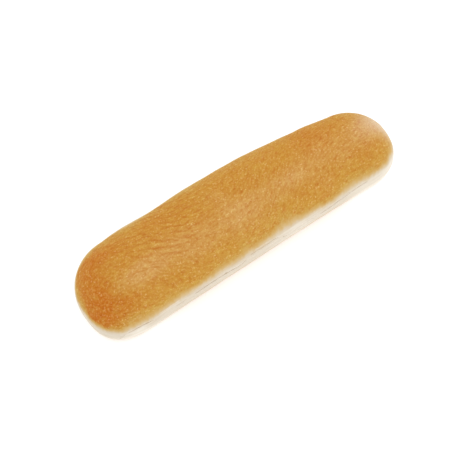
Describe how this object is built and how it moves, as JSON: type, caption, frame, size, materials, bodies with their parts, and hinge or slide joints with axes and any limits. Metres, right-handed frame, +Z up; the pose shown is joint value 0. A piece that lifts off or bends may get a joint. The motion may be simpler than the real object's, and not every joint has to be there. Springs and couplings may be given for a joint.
{
  "type": "hot dog bun",
  "caption": "Long soft bread roll with a flat base, a golden domed crust, pale sides and a closed knife slit along its front side.",
  "frame": {"origin": "centre of the bounding box, on the flat base that the bun rests on", "axes": "+X along the length towards the slimmer end, -Y towards the side with the slit, +Z up to the crown"},
  "size_m": [0.175, 0.0492, 0.0362],
  "materials": {
    "bread": "baked crust, golden brown with a slight sheen, paling to cream on the sides"
  },
  "bodies": {
    "root": {"bun": "bread"}
  },
  "joints": []
}
